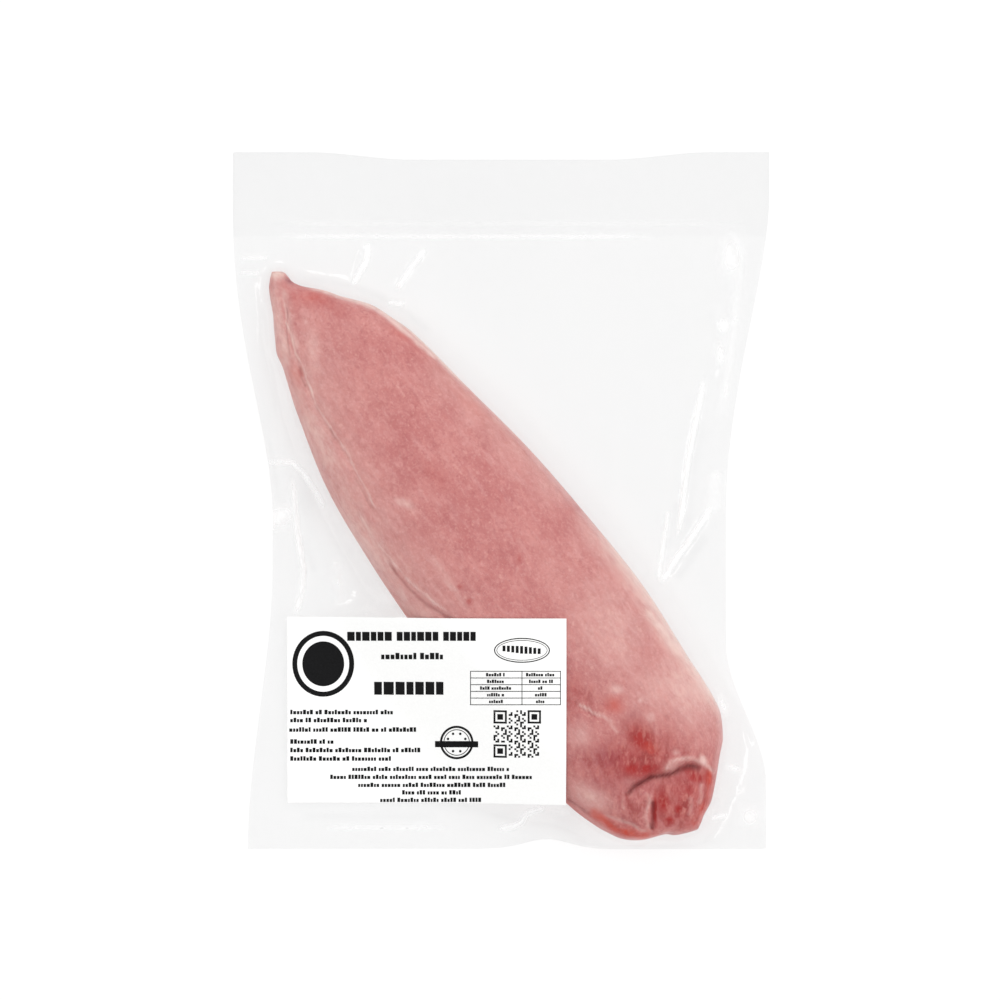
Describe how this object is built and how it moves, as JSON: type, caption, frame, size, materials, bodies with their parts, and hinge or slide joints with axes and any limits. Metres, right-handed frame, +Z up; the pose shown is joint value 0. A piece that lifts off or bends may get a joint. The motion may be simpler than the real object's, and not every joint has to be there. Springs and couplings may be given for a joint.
{
  "type": "vacuum-packed raw pork tenderloin",
  "caption": "Raw pork tenderloin shrunk tight in a clear flat vacuum pouch: a long tapered pink muscle lying corner to corner, its thick end folded, with a rectangular paper label.",
  "frame": {"origin": "on the surface the pack lies on, under the middle of the pouch", "axes": "+Z up, +Y along the pouch from its bottom seam to its header, +X to the right as seen from above with the header away"},
  "size_m": [0.231, 0.3, 0.0416],
  "materials": {
    "raw_meat": "moist raw pork, pink with pale streaks, seen through clear film",
    "pouch_film": "clear thin vacuum film, glossy, with fine wrinkles",
    "label_paper": "smooth white label paper",
    "label_ink": "matt black thermal print"
  },
  "bodies": {
    "root": {"tenderloin_in_pouch": "raw_meat", "label": "label_paper"}
  },
  "joints": []
}
